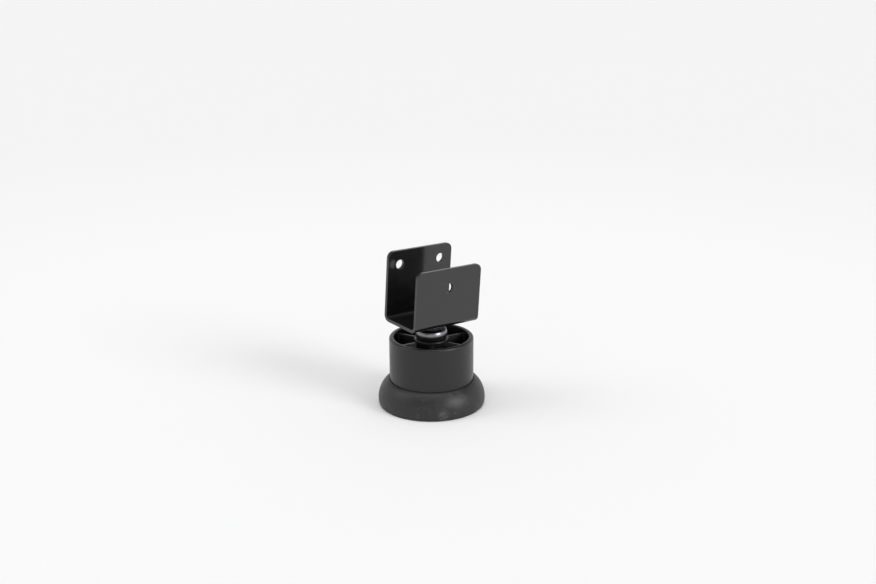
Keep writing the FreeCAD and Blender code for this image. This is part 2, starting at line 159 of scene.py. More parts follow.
class SpindleSettings(PropertyGroup):
    """Sizes of the turned spindle."""
    thread_radius: length("Thread radius", "Outer radius of the thread", 4.95 * MM)
    thread_pitch: length("Thread pitch", "Rise of the thread in one turn", 1.5 * MM)
    thread_depth: length("Thread depth", "Depth of the thread", 0.9 * MM)
    thread_start: length("Thread start", "Height of the thread's end above the tip", 1.0 * MM)
    thread_runout: length("Thread run-out", "Height over which its upper end runs out", 0.2 * MM)
    tip_chamfer: length("Tip chamfer", "Chamfer of the tip", 0.9 * MM)
    relief: length("Relief", "Plain shank between the thread and the collar", 1.2 * MM)
    collar_radius: length("Collar radius", "Widest radius of the collar", SPINDLE_HIGH.x)
    collar_gap: length("Collar gap", "Gap between the collar and the hub", 0.1 * MM)
    collar_height: length("Collar height", "Height of the collar", 5.55 * MM)
    collar_bulge: length("Collar bulge", "Radius of the collar's rounded side", 5.0 * MM)
    collar_edge: length("Collar edge", "Rounding of the collar's edges", 0.8 * MM)
    neck_radius: length("Neck radius", "Radius of the neck under the bracket", 6.0 * MM)
    neck_height: length("Neck height", "Height of the neck", 4.2 * MM)
    neck_fillet: length("Neck fillet", "Fillet between the neck and the collar", 0.4 * MM)
    neck_edge: length("Neck edge", "Rounding of the neck's upper edge", 0.3 * MM)
    rivet_radius: length("Rivet radius", "Radius of the rivet through the web", 4.0 * MM)
    head_radius: length("Head radius", "Radius of the rivet's head", 6.5 * MM)
    head_rim: length("Head rim", "Height of the head's side", 0.5 * MM)
    head_edge: length("Head edge", "Rounding of the head's lower edge", 0.15 * MM)
    head_dome: length("Head dome", "Rise of the head's dome", 1.1 * MM)


class BracketSettings(PropertyGroup):
    """Sizes of the folded bracket."""
    rail_gap: length("Rail gap", "Width between the flanges", 26.4 * MM)
    sheet_thickness: length("Sheet thickness", "Thickness of the sheet", 2.0 * MM)
    bend_radius: length("Bend radius", "Inner radius of the bends", 2.0 * MM)
    bracket_length: length("Length", "Length of the bracket along the rail", 47.0 * MM)
    tall_height: length("Tall flange", "Height of the tall flange above the web's underside", 42.3 * MM)
    short_height: length("Short flange", "Height of the short flange", 36.5 * MM)
    corner_radius: length("Corner radius", "Rounding of the flanges' corners", 4.0 * MM)
    hole_radius: length("Hole radius", "Radius of the screw holes",
                        MOUNTS["short_flange_screw"]["dims"]["r_mm"] * MM)
    tall_spacing: length("Tall hole spacing", "Distance between the tall flange's holes",
                         MOUNTS["tall_flange_screws"]["dims"]["pcd_mm"] * MM)
    tall_drop: length("Tall hole drop", "Depth of its holes below its top", 8.5 * MM)
    short_drop: length("Short hole drop", "Depth of the short flange's hole", 11.8 * MM)
    rivet_clearance: length("Rivet clearance", "Play round the rivet in the web", 0.25 * MM)
    edge_radius: length("Edge rounding", "Rounding of the coated edges", 0.3 * MM)


class StageSettings(PropertyGroup):
    """Camera, lights and floor."""
    camera_place: FloatVectorProperty(name="Camera place", description="Where the camera stands",
                                      default=(-0.4389, -0.5671, 0.3011), subtype="TRANSLATION",
                                      unit="LENGTH")
    camera_heading: angle("Heading", "Direction of view from +Y to +X", 38.07)
    camera_pitch: angle("Pitch", "Downward tilt of the view", 17.89)
    camera_roll: angle("Roll", "Turn of the picture", -0.32)
    focal_length: FloatProperty(name="Focal length", description="Lens, on a sensor 36 mm wide",
                                default=52.38, subtype="DISTANCE_CAMERA", unit="CAMERA")
    floor_size: length("Floor size", "Side of the floor", 14.0)
    floor_colour: colour("Floor colour", "Colour of the floor by the leg", "#F7F7F7")
    # The far floor's colour is painted shade for light falling off away from the leg, and the same
    # colour lights the studio's horizon
    far_shade_and_horizon_colour: colour("Far colour", "Colour of the far floor and of the studio's horizon", "#F2F2F2")
    key_level: light_level("Key level", "Light on the floor from the key softbox", 0.17)
    side_level: light_level("Side level", "Light on the floor from the side softbox", 0.11)
    top_level: light_level("Top level", "Light on the floor from the softbox overhead", 0.337)
    world_level: light_level("World level", "Brightness of the studio overhead", 0.27)


class FinishSettings(PropertyGroup):
    """Colours of the finishes."""
    coat: colour("Coat", "Black coat of the bracket", "#161616")
    coat_thin: colour("Thin coat", "Black coat where it is thinner", "#1C1C1C")
    rubber: colour("Rubber", "Rubber of the shoe", "#121212")
    # Also the colour of the painted highlight on the shoe's front shoulder
    dust_and_highlight: colour("Dust", "Dust and scuffs on the rubber", "#8A8A8A")
    plastic: colour("Plastic", "Plastic of the foot", "#0F0F0F")
    plastic_pale: colour("Pale plastic", "Plastic of the foot in its paler clouds", "#141414")
    rub: colour("Rub", "Rubs on the plastic", "#7C7C7C")
    black_steel: colour("Blackened steel", "Metal of the spindle and the insert", "#2E2E2F")
    polished_steel: colour("Polished steel", "That metal where it is polished", "#8E8E90")


class LegSettings(PropertyGroup):
    """All that a user would change."""
    shoe: PointerProperty(type=ShoeSettings)
    foot: PointerProperty(type=FootSettings)
    insert: PointerProperty(type=InsertSettings)
    spindle: PointerProperty(type=SpindleSettings)
    bracket: PointerProperty(type=BracketSettings)
    stage: PointerProperty(type=StageSettings)
    finish: PointerProperty(type=FinishSettings)


# Outlines, as points of radius and height
def arc(centre, radius, start, end, steps):
    """Points of an arc in the plane of radius and height, by angle from the outward direction."""
    points = []
    for step in range(steps + 1):
        angle = start + (end - start) * step / steps
        points.append((centre[0] + radius * math.cos(angle), centre[1] + radius * math.sin(angle)))
    return points


def rounded(corners, steps=4):
    """An outline whose corners, (radius, height, rounding), are rounded where they say so."""
    points = []
    count = len(corners)
    for index, (x, z, rounding) in enumerate(corners):
        here = Vector((x, z))
        if not rounding:
            points.append((x, z))
            continue
        before = (Vector(corners[index - 1][:2]) - here).normalized()
        after = (Vector(corners[(index + 1) % count][:2]) - here).normalized()
        half = before.angle(after) / 2
        centre = here + (before + after).normalized() * (rounding / math.sin(half))
        first = here + before * (rounding / math.tan(half)) - centre
        last = here + after * (rounding / math.tan(half)) - centre
        start = math.atan2(first.y, first.x)
        turn = math.remainder(math.atan2(last.y, last.x) - start, math.tau)
        points += arc(centre, rounding, start, start + turn, steps)
    return points


# Meshes
def lathe(mesh, outline, steps, closed):
    """Spins an outline about the vertical axis. Its ends lie on the axis unless it is closed."""
    verts = [mesh.verts.new((radius, 0, height)) for radius, height in outline]
    pairs = list(zip(verts, verts[1:])) + ([(verts[-1], verts[0])] if closed else [])
    edges = [mesh.edges.new(pair) for pair in pairs]
    bmesh.ops.spin(mesh, geom=verts + edges, cent=(0, 0, 0), axis=(0, 0, 1), angle=math.tau,
                   steps=steps, use_merge=True, use_duplicate=False)
    bmesh.ops.remove_doubles(mesh, verts=mesh.verts, dist=TOUCHING)
    bmesh.ops.recalc_face_normals(mesh, faces=mesh.faces)


def finish_piece(mesh, name, material, body, node):
    """Turns a bmesh into a named piece that replaces its CAD node."""
    for face in mesh.faces:
        face.smooth = True
    for edge in mesh.edges:
        edge.smooth = edge.calc_face_angle(0) <= SHARP
    data = bpy.data.meshes.new(name)
    mesh.to_mesh(data)
    mesh.free()
    piece = bpy.data.objects.new(name, data)
    bpy.context.scene.collection.objects.link(piece)
    data.materials.append(material)
    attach(piece, body)
    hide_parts(node)
    return piece


def ring_verts(made):
    return [item for item in made["geom"] if isinstance(item, bmesh.types.BMVert)]


def ring_edges(made):
    return [item for item in made["geom"] if isinstance(item, bmesh.types.BMEdge) and item.is_boundary]


def follow(mesh, edges, outline):
    """Extrudes a ring of edges about the vertical axis through points of radius and height."""
    for radius, height in outline:
        made = bmesh.ops.extrude_edge_only(mesh, edges=edges)
        for vert in ring_verts(made):
            across = vert.co.xy.normalized() * radius
            vert.co = (across.x, across.y, height)
        edges = ring_edges(made)
    return edges


def joined_edges(mesh, verts):
    """The edges of a closed chain of vertices, made where they are missing."""
    pairs = zip(verts, verts[1:] + verts[:1])
    return [mesh.edges.get(pair) or mesh.edges.new(pair) for pair in pairs]


def between(mesh, start, end, steps):
    """New vertices between two others on their circle about the axis, counter-clockwise."""
    radius, first = start.co.xy.length, math.atan2(start.co.y, start.co.x)
    turn = (math.atan2(end.co.y, end.co.x) - first) % math.tau
    angles = [first + turn * step / steps for step in range(1, steps)]
    return [mesh.verts.new((radius * math.cos(angle), radius * math.sin(angle), start.co.z))
            for angle in angles]


def check_closed(mesh, name):
    open_edges = sum(not edge.is_manifold for edge in mesh.edges)
    if open_edges:
        raise RuntimeError(f"{name} has {open_edges} edges that don't join two faces")


def rib_side(foot, side):
    """Plan points along one side of a rib that lies on +X, from the hub to the wall."""
    fillet = foot.rib_fillet
    across = foot.rib_thickness / 2 + fillet
    inside = foot.wall_radius - foot.wall_thickness
    near = math.sqrt((foot.hub_radius + fillet) ** 2 - across ** 2)
    far = math.sqrt((inside - fillet) ** 2 - across ** 2)
    points = arc((near, across), fillet, math.atan2(-across, -near), -math.pi / 2, 5)
    points += arc((far, across), fillet, -math.pi / 2, math.atan2(across, far), 5)
    return [(along, side * out) for along, out in points]


def ribbed_pockets(mesh, foot, rib_top, floor_top):
    """Makes the ribs' tops and the pockets between them.

    Returns the edges round the hub, the edges round the wall and the edges along the ribs.
    """
    rights, lefts, hub_ring, wall_ring = [], [], [], []
    for index in range(foot.rib_count):
        turn = Matrix.Rotation(foot.rib_angle + math.tau * index / foot.rib_count, 3, "Z")
        for sides, side in ((rights, -1), (lefts, 1)):
            sides.append([mesh.verts.new(turn @ Vector((along, out, rib_top)))
                          for along, out in rib_side(foot, side)])
    edges_to_round = []
    for right, left, next_right in zip(rights, lefts, rights[1:] + rights[:1]):
        hub_arc = between(mesh, right[0], left[0], END_STEPS)
        wall_arc = between(mesh, right[-1], left[-1], END_STEPS)
        mesh.faces.new(right + wall_arc + left[::-1] + hub_arc[::-1])
        hub_side = between(mesh, left[0], next_right[0], HUB_STEPS)
        wall_side = between(mesh, left[-1], next_right[-1], WALL_STEPS)
        hub_ring += [right[0]] + hub_arc + [left[0]] + hub_side
        wall_ring += [right[-1]] + wall_arc + [left[-1]] + wall_side
        pocket = joined_edges(mesh, left + wall_side + next_right[::-1] + hub_side[::-1])
        made = bmesh.ops.extrude_edge_only(mesh, edges=pocket)
        bmesh.ops.translate(mesh, verts=ring_verts(made), vec=(0, 0, floor_top - rib_top))
        floor = bmesh.ops.contextual_create(mesh, geom=ring_edges(made))["faces"]
        edges_to_round.append([edge for face in floor for edge in face.edges])
    bmesh.ops.recalc_face_normals(mesh, faces=mesh.faces)
    for edges in edges_to_round:
        bmesh.ops.bevel(mesh, geom=edges, offset=foot.floor_fillet, segments=3, profile=0.5,
                        affect="EDGES", clamp_overlap=True, material=-1)
    rib_edges = [mesh.edges.get(pair) for side in rights + lefts for pair in zip(side, side[1:])]
    return joined_edges(mesh, hub_ring), joined_edges(mesh, wall_ring), rib_edges


def cut_away(piece, cutters):
    """Takes the cutters' mesh away from a piece's mesh."""
    tool = bpy.data.objects.new("cutters", bpy.data.meshes.new("cutters"))
    cutters.to_mesh(tool.data)
    cutters.free()
    bpy.context.scene.collection.objects.link(tool)
    boolean = piece.modifiers.new("cut", "BOOLEAN")
    boolean.operation = "DIFFERENCE"
    boolean.solver = "EXACT"
    boolean.object = tool
    depsgraph = bpy.context.evaluated_depsgraph_get()
    whole = piece.data
    piece.data = bpy.data.meshes.new_from_object(piece.evaluated_get(depsgraph))
    piece.modifiers.remove(boolean)
    bpy.data.meshes.remove(whole)
    bpy.data.meshes.remove(tool.data)


def drill(cutters, place, axis, radius, depth):
    """Adds a cylinder through a place to the cutters."""
    matrix = Matrix.Translation(place) @ Vector(axis).to_track_quat("Z", "Y").to_matrix().to_4x4()
    bmesh.ops.create_cone(cutters, cap_ends=True, segments=64, radius1=radius, radius2=radius,
                          depth=depth, matrix=matrix)


# Materials
def linear(hex_value):
    """Turns an sRGB hex value into linear red, green, blue and alpha."""
    parts = [int(hex_value[place:place + 2], 16) / 255 for place in (1, 3, 5)]
    light = [part / 12.92 if part <= 0.04045 else ((part + 0.055) / 1.055) ** 2.4 for part in parts]
    return light + [1]


def add_node(tree, kind, inputs, output=0, **settings):
    """Adds a shader node with its settings, fills or links its inputs, and returns one output."""
    node = tree.nodes.new("ShaderNode" + kind)
    for name, value in settings.items():
        setattr(node, name, value)
    for key, value in inputs.items():
        if isinstance(value, bpy.types.NodeSocket):
            tree.links.new(value, node.inputs[key])
        else:
            node.inputs[key].default_value = value
    return node.outputs[output]


# A Mix node's sockets when it mixes colours
FACTOR, COLOUR_A, COLOUR_B, MIXED = 0, 6, 7, 2


def new_material(name, constants, links):
    """Makes a material. links(tree, place) gives the Principled sockets that a pattern drives."""
    material = bpy.data.materials.new(name)
    material.use_nodes = True
    tree = material.node_tree
    shader = tree.nodes["Principled BSDF"]
    for socket, value in constants.items():
        shader.inputs[socket].default_value = value
    place = add_node(tree, "TexCoord", {}, "Object")
    for socket, source in links(tree, place).items():
        tree.links.new(source, shader.inputs[socket])
    return material


def gloss_black_coat(finish):
    """Black dip coat baked on cold-rolled steel: mirror-like, with a faint orange peel in it."""
    def links(tree, place):
        # The film's thickness drifts over about 14 mm
        drift = add_node(tree, "TexNoise", {"Vector": place, "Scale": 1 / (14 * MM), "Detail": 2.0})
        colour = add_node(tree, "Mix", {FACTOR: drift, COLOUR_A: linear(finish.coat),
                                        COLOUR_B: linear(finish.coat_thin)}, MIXED, data_type="RGBA")
        # Handling leaves the gloss uneven in patches of about 5 mm
        handled = add_node(tree, "TexNoise", {"Vector": place, "Scale": 1 / (5 * MM), "Detail": 3.0})
        rough = add_node(tree, "MapRange", {"Value": handled, "From Min": 0.3, "From Max": 0.7,
                                            "To Min": 0.09, "To Max": 0.17})
        # Orange peel of 1.6 mm, 4 microns deep
        peel = add_node(tree, "TexNoise", {"Vector": place, "Scale": 1 / (1.6 * MM), "Detail": 1.0})
        bump = add_node(tree, "Bump", {"Height": peel, "Distance": 0.004 * MM})
        return {"Base Color": colour, "Roughness": rough, "Normal": bump}
    return new_material("gloss_black_dip_coat", {"IOR": 1.6}, links)


def black_polypropylene(finish):
    """Injection-moulded black polypropylene: satin, with a fine eroded grain and a few pale rubs."""
    def links(tree, place):
        # Pigment clouds of 9 mm
        cloud = add_node(tree, "TexNoise", {"Vector": place, "Scale": 1 / (9 * MM), "Detail": 2.0})
        colour = add_node(tree, "Mix", {FACTOR: cloud, COLOUR_A: linear(finish.plastic),
                                        COLOUR_B: linear(finish.plastic_pale)}, MIXED, data_type="RGBA")
        # Pale rubs of 0.7 mm, drawn out along the wall, mostly low down where the shoe meets it
        long_way = add_node(tree, "Mapping", {"Vector": place, "Scale": (1, 1, 3)})
        rub = add_node(tree, "TexNoise", {"Vector": long_way, "Scale": 1 / (0.7 * MM), "Detail": 4.0})
        rubbed = add_node(tree, "MapRange", {"Value": rub, "From Min": 0.64, "From Max": 0.74})
        height = add_node(tree, "SeparateXYZ", {"Vector": place}, "Z")
        low = add_node(tree, "MapRange", {"Value": height, "From Min": 15.5 * MM, "From Max": 20 * MM,
                                          "To Min": 0.4, "To Max": 0.03})
        share = add_node(tree, "Math", {0: rubbed, 1: low}, operation="MULTIPLY")
        worn = add_node(tree, "Mix", {FACTOR: share, COLOUR_A: colour, COLOUR_B: linear(finish.rub)},
                        MIXED, data_type="RGBA")
        # Satin that varies over 3 mm
        satin = add_node(tree, "TexNoise", {"Vector": place, "Scale": 1 / (3 * MM), "Detail": 3.0})
        rough = add_node(tree, "MapRange", {"Value": satin, "From Min": 0.3, "From Max": 0.7,
                                            "To Min": 0.3, "To Max": 0.4})
        # Eroded grain, really about 0.2 mm, drawn at 0.5 mm so that it shows
        grain = add_node(tree, "TexNoise", {"Vector": place, "Scale": 1 / (0.5 * MM), "Detail": 2.0})
        bump = add_node(tree, "Bump", {"Height": grain, "Distance": 0.006 * MM})
        return {"Base Color": worn, "Roughness": rough, "Normal": bump}
    return new_material("moulded_black_polypropylene", {"IOR": 1.49}, links)


# Where pale marks lie on the shoe: place, reach and share, in metres and as a fraction. Dust and scuffs
# make most of them, and the first is a painted highlight of the key softbox
SHOE_MARKS = (
    # Painted highlight: a pale patch high on the front shoulder, where the key softbox reflects
    ((-0.0035, -0.0285, 0.0125), 0.0095, 0.12),
    ((-0.0138, -0.0288, 0.0038), 0.0050, 0.24),
    ((0.0200, 0.0220, 0.0100), 0.0110, 0.25),
    ((-0.0100, 0.0290, 0.0080), 0.0090, 0.20),
)


def matt_rubber(finish):
    """Moulded black rubber: soft and nearly matt. Dust lies thinly on it, with a few pale scuffs, and a
    painted highlight of the key softbox lies pale on its front shoulder.
    """
    def links(tree, place):
        # Dust streaks of 3 mm, drawn out round the shoe and broken up by finer ones
        flat = add_node(tree, "Mapping", {"Vector": place, "Scale": (1, 1, 1.6)})
        streak = add_node(tree, "TexNoise", {"Vector": flat, "Scale": 1 / (3 * MM), "Detail": 5.0,
                                             "Roughness": 0.6})
        mark_streaks = add_node(tree, "MapRange", {"Value": streak, "From Min": 0.35, "From Max": 0.7})
        cover = add_node(tree, "MapRange", {"Value": streak, "From Min": 0.45, "From Max": 0.75,
                                            "To Max": 0.03})
        # Each mark paints the pale colour in a patch, and the first patch is a painted highlight
        for centre, reach, share in SHOE_MARKS:
            away = add_node(tree, "VectorMath", {0: place, 1: centre}, "Value", operation="DISTANCE")
            # A mark is at its full share within a quarter of its reach
            near = add_node(tree, "MapRange",
                            {"Value": away, "From Min": reach, "From Max": reach / 4, "To Max": share},
                            interpolation_type="SMOOTHSTEP")
            patch = add_node(tree, "Math", {0: near, 1: mark_streaks}, operation="MULTIPLY")
            cover = add_node(tree, "Math", {0: cover, 1: patch}, operation="MAXIMUM")
        colour = add_node(tree, "Mix", {FACTOR: cover, COLOUR_A: linear(finish.rubber),
                                        COLOUR_B: linear(finish.dust_and_highlight)}, MIXED, data_type="RGBA")
        # Scuffs of 0.6 mm, rubbed out to 3 mm round the shoe, mostly low down
        level = add_node(tree, "Mapping", {"Vector": place, "Scale": (0.2, 0.2, 1)})
        speck = add_node(tree, "TexNoise", {"Vector": level, "Scale": 1 / (0.6 * MM), "Detail": 3.0})
        rubbed = add_node(tree, "MapRange", {"Value": speck, "From Min": 0.6, "From Max": 0.7})
        height = add_node(tree, "SeparateXYZ", {"Vector": place}, "Z")
        low = add_node(tree, "MapRange", {"Value": height, "From Min": 4 * MM, "From Max": 9 * MM,
                                          "To Min": 0.22, "To Max": 0.05})
        scuff = add_node(tree, "Math", {0: rubbed, 1: low}, operation="MULTIPLY")
        worn = add_node(tree, "Mix", {FACTOR: scuff, COLOUR_A: colour, COLOUR_B: linear(finish.dust_and_highlight)},
                        MIXED, data_type="RGBA")
        # Dust and wear leave the sheen of the skin uneven
        rough = add_node(tree, "MapRange", {"Value": streak, "From Min": 0.3, "From Max": 0.7,
                                            "To Min": 0.41, "To Max": 0.53})
        # Moulded grain, really about 0.3 mm, drawn at 0.6 mm so that it shows
        grain = add_node(tree, "TexNoise", {"Vector": place, "Scale": 1 / (0.6 * MM), "Detail": 3.0})
        bump = add_node(tree, "Bump", {"Height": grain, "Distance": 0.012 * MM})
        return {"Base Color": worn, "Roughness": rough, "Normal": bump}
    return new_material("matt_black_rubber", {"IOR": 1.52}, links)


def blackened_steel(finish):
    """Blackened turned steel: dull black, and shining grey metal where the collar is polished."""
    def links(tree, place):
        # The polish covers what stands out more than about 8 mm from the axis
        across = add_node(tree, "VectorMath", {0: place, 1: (1, 1, 0)}, operation="MULTIPLY")
        radius = add_node(tree, "VectorMath", {0: across}, "Value", operation="LENGTH")
        polish = add_node(tree, "MapRange", {"Value": radius, "From Min": 7.8 * MM,
                                             "From Max": 8.5 * MM})
        # It went through the blacking unevenly, in patches of 3 mm
        thin = add_node(tree, "TexNoise", {"Vector": place, "Scale": 1 / (3 * MM), "Detail": 3.0})
        through = add_node(tree, "MapRange", {"Value": thin, "From Min": 0.3, "From Max": 0.7,
                                              "To Min": 0.8, "To Max": 1.0})
        share = add_node(tree, "Math", {0: polish, 1: through}, operation="MULTIPLY")
        colour = add_node(tree, "Mix", {FACTOR: share, COLOUR_A: linear(finish.black_steel),
                                        COLOUR_B: linear(finish.polished_steel)},
                          MIXED, data_type="RGBA")
        rough = add_node(tree, "MapRange", {"Value": share, "To Min": 0.42, "To Max": 0.3})
        # Tool marks round the piece, really 0.25 mm apart, drawn at 0.5 mm so that they show
        round_it = add_node(tree, "Mapping", {"Vector": place, "Scale": (0.02, 0.02, 1)})
        rings = add_node(tree, "TexNoise", {"Vector": round_it, "Scale": 1 / (0.5 * MM), "Detail": 1.0})
        bump = add_node(tree, "Bump", {"Height": rings, "Distance": 0.002 * MM})
        return {"Base Color": colour, "Roughness": rough, "Normal": bump}
    return new_material("blackened_turned_steel", {"Metallic": 1.0}, links)


def pale_floor(stage):
    """Plain matt studio floor, with painted shade: a little less white far from the leg, where the
    light would fall off.
    """
    def links(tree, place):
        away = add_node(tree, "VectorMath", {0: place}, "Value", operation="LENGTH")
        # Painted shade, from 0.3 m to 0.9 m away
        far = add_node(tree, "MapRange", {"Value": away, "From Min": 0.3, "From Max": 0.9},
                       interpolation_type="SMOOTHSTEP")
        return {"Base Color": add_node(tree, "Mix", {FACTOR: far, COLOUR_A: linear(stage.floor_colour),
                                                     COLOUR_B: linear(stage.far_shade_and_horizon_colour)},
                                       MIXED, data_type="RGBA")}
    return new_material("studio_floor_painted_falloff", {"Roughness": 0.9, "Specular IOR Level": 0.1}, links)


# Operators
class LEG_OT_rubber_shoe(Operator):
    """Flared rubber shoe with a bulging side and a ringed tread"""
    bl_idname = "leg.rubber_shoe"
    bl_label = "Rubber shoe"

    def execute(self, context):
        shoe, foot = context.scene.leg.shoe, context.scene.leg.foot
        inside, groove_side = foot.wall_radius + shoe.fit, FOOT_HIGH.x + shoe.fit
        groove_top = shoe.sole_thickness + foot.bead_height + shoe.fit
        # Below its widest ring the side is an arc that comes in to the sole
        step = shoe.widest_radius - shoe.sole_radius
        lower_radius = (shoe.widest_height ** 2 + step ** 2) / (2 * step)
        lower_turn = math.asin(shoe.widest_height / lower_radius)

        outline = [(0, 0)]
        for index in range(shoe.tread_count):
            near = shoe.tread_start + index * shoe.tread_pitch
            far = near + shoe.tread_width
            outline += [(near, 0), (near, shoe.tread_depth), (far, shoe.tread_depth), (far, 0)]
        lower = arc((shoe.widest_radius - lower_radius, shoe.widest_height), lower_radius,
                    -lower_turn, 0, 7)
        edge = [(outline[-1][0], 0, 0), (shoe.sole_radius, 0, shoe.edge_radius), (*lower[1], 0)]
        outline += rounded(edge)[1:-1] + lower[1:-1]
        centre = (shoe.widest_radius - shoe.side_radius, shoe.widest_height)
        outline += arc(centre, shoe.side_radius, 0, shoe.side_angle, 14)
        radius_step = shoe.side_radius - shoe.shoulder_radius
        centre = (centre[0] + radius_step * math.cos(shoe.side_angle),
                  centre[1] + radius_step * math.sin(shoe.side_angle))
        lip_turn = math.acos((inside - centre[0]) / shoe.shoulder_radius)
        shoulder = arc(centre, shoe.shoulder_radius, shoe.side_angle, lip_turn, 8)
        lip = [(*shoulder[-2], 0), (*shoulder[-1], shoe.lip_radius), (inside, groove_top, 0)]
        outline += shoulder[1:-1] + rounded(lip)[1:]
        outline += [(groove_side, groove_top), (groove_side, shoe.sole_thickness),
                    (0, shoe.sole_thickness)]

        mesh = bmesh.new()
        lathe(mesh, outline, SHOE_STEPS, closed=False)
        check_closed(mesh, "shoe")
        finish_piece(mesh, "moulded_shoe", matt_rubber(context.scene.leg.finish), "foot",
                     "rubber_shoe")
        return {"FINISHED"}


class LEG_OT_foot(Operator):
    """Moulded foot: an outer wall, a hub and the ribs between them"""
    bl_idname = "leg.foot"
    bl_label = "Ribbed foot"

    def execute(self, context):
        foot = context.scene.leg.foot
        bottom, rim = FOOT_LOW.z, FOOT_HIGH.z
        inside, hub_top = foot.wall_radius - foot.wall_thickness, rim - foot.hub_drop
        bead_radius = FOOT_HIGH.x
        mesh = bmesh.new()
        hub_edges, wall_edges, rib_edges = ribbed_pockets(
            mesh, foot, rim - foot.rib_drop, bottom + foot.floor_thickness)
        rim_corners = [(inside, rim - foot.rib_drop, 0), (inside, rim, foot.inner_round),
                       (foot.wall_radius, rim, foot.rim_round), (foot.wall_radius, bottom, 0)]
        wall = rounded(rim_corners, 5)[1:-1] + [
            (foot.wall_radius, bottom + foot.bead_height), (bead_radius, bottom + foot.bead_height),
            (bead_radius, bottom)]
        underside = follow(mesh, wall_edges, wall)
        hub_corners = [(foot.hub_radius, bottom, 0), (foot.hub_radius, hub_top, foot.hub_round),
                       (foot.flange_radius, hub_top, foot.seat_round), (foot.flange_radius, bottom, 0)]
        hub = rounded(hub_corners)[1:-1] + [
            (foot.flange_radius, hub_top - foot.flange_depth),
            (foot.seat_radius, hub_top - foot.flange_depth), (foot.seat_radius, INSERT_LOW.z),
            (foot.bore_radius, INSERT_LOW.z), (foot.bore_radius, bottom + foot.bore_floor)]
        bore_floor = follow(mesh, hub_edges, hub)
        for edges in (underside, bore_floor):
            bmesh.ops.contextual_create(mesh, geom=edges)
        bmesh.ops.recalc_face_normals(mesh, faces=mesh.faces)
        bmesh.ops.bevel(mesh, geom=rib_edges, offset=foot.rib_round, segments=2, profile=0.5,
                        affect="EDGES", clamp_overlap=True, material=-1)
        bmesh.ops.recalc_face_normals(mesh, faces=mesh.faces)
        check_closed(mesh, "foot")
        finish_piece(mesh, "moulded_foot", black_polypropylene(context.scene.leg.finish), "foot",
                     "foot_body")
        return {"FINISHED"}


class LEG_OT_insert(Operator):
    """Flanged threaded insert in the hub"""
    bl_idname = "leg.insert"
    bl_label = "Threaded insert"

    def execute(self, context):
        insert = context.scene.leg.insert
        top, low = INSERT_HIGH.z, INSERT_LOW.z
        seat = top - insert.flange_thickness
        waist = insert.body_radius - insert.groove_depth
        groove_low = (low + seat - insert.groove_width) / 2
        groove_high = groove_low + insert.groove_width
        corners = [
            (insert.bore_radius, low, 0), (insert.body_radius, low, insert.body_edge),
            (insert.body_radius, groove_low, 0), (waist, groove_low, 0), (waist, groove_high, 0),
            (insert.body_radius, groove_high, 0), (insert.body_radius, seat, 0),
            (insert.flange_radius, seat, insert.edge_radius),
            (insert.flange_radius, top, insert.edge_radius),
            (insert.bore_radius, top, insert.bore_edge)]
        mesh = bmesh.new()
        lathe(mesh, rounded(corners), TURNED_STEPS, closed=True)
        check_closed(mesh, "insert")
        finish_piece(mesh, "turned_insert", blackened_steel(context.scene.leg.finish), "foot",
                     "threaded_insert")
        return {"FINISHED"}


